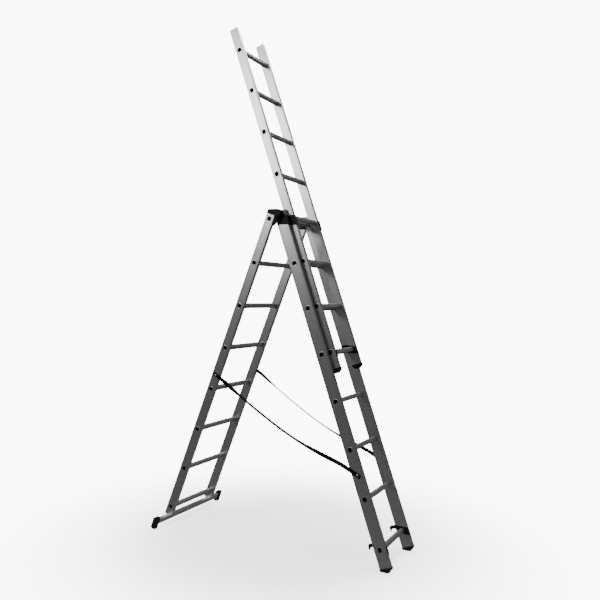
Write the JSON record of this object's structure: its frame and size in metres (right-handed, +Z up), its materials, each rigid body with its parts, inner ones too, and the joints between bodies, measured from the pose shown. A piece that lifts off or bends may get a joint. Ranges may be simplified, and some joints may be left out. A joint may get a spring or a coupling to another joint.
{
  "type": "combination ladder",
  "caption": "Free-standing aluminium ladder: hinged step-ladder base with stabiliser bar, nylon check straps and a top section hooked on as a sliding extension.",
  "frame": {"origin": "on the floor below the plane midway between the two top rungs, centred between the stiles", "axes": "+X along the rungs, +Y from the climbing side to the supporting side, +Z up"},
  "size_m": [0.704, 1.5582, 3.1656],
  "materials": {
    "stile_aluminium": "satin extruded aluminium",
    "rung_aluminium": "ribbed extruded aluminium",
    "black_casting": "moulded black",
    "black_steel": "black powder coat",
    "grey_plastic": "moulded grey",
    "foot_rubber": "moulded rubber",
    "webbing": "woven nylon webbing",
    "fastener_steel": "zinc plated"
  },
  "bodies": {
    "middle_section": {"middle_stile_left": "stile_aluminium", "middle_stile_right": "stile_aluminium", "middle_rung_1": "rung_aluminium", "middle_rung_2": "rung_aluminium", "middle_rung_3": "rung_aluminium", "middle_rung_4": "rung_aluminium", "middle_rung_5": "rung_aluminium", "middle_rung_6": "rung_aluminium", "middle_rung_7": "rung_aluminium", "middle_rung_8": "rung_aluminium", "middle_foot_left": "foot_rubber", "middle_foot_right": "foot_rubber", "middle_hook_left": "black_steel", "middle_hook_right": "black_steel", "middle_guide_left": "black_steel", "middle_guide_right": "black_steel", "middle_rivets": "fastener_steel", "middle_strap_rivets": "fastener_steel", "hinge_pins": "fastener_steel"},
    "rear_section": {"rear_stile_left": "stile_aluminium", "rear_stile_right": "stile_aluminium", "rear_rung_1": "rung_aluminium", "rear_rung_2": "rung_aluminium", "rear_rung_3": "rung_aluminium", "rear_rung_4": "rung_aluminium", "rear_rung_5": "rung_aluminium", "rear_rung_6": "rung_aluminium", "rear_rung_7": "rung_aluminium", "rear_rung_8": "rung_aluminium", "rear_hinge_cap_left": "black_casting", "rear_hinge_cap_right": "black_casting", "rear_insert_left": "grey_plastic", "rear_insert_right": "grey_plastic", "stabiliser_bar": "stile_aluminium", "stabiliser_foot_left": "foot_rubber", "stabiliser_foot_right": "foot_rubber", "stabiliser_bolts": "fastener_steel", "rear_rivets": "fastener_steel", "rear_strap_rivets": "fastener_steel", "strap_left": "webbing", "strap_right": "webbing"},
    "top_section": {"top_stile_left": "stile_aluminium", "top_stile_right": "stile_aluminium", "top_rung_1": "rung_aluminium", "top_rung_2": "rung_aluminium", "top_rung_3": "rung_aluminium", "top_rung_4": "rung_aluminium", "top_rung_5": "rung_aluminium", "top_rung_6": "rung_aluminium", "top_rung_7": "rung_aluminium", "top_rung_8": "rung_aluminium", "top_foot_left": "foot_rubber", "top_foot_right": "foot_rubber", "top_hook_left": "black_steel", "top_hook_right": "black_steel", "top_rivets": "fastener_steel"}
  },
  "joints": [
    {"name": "fold", "type": "hinge", "parent": "middle_section", "child": "rear_section", "pos_m": [0, -0.0127, 1.96897], "axis": [-1, 0, 0], "range_deg": [0, 39.5], "deforming": ["strap_left", "strap_right"]},
    {"name": "extension", "type": "slide", "parent": "middle_section", "child": "top_section", "axis": [0, 0.3478, 0.9376], "range_m": [-1.12, 0]}
  ]
}
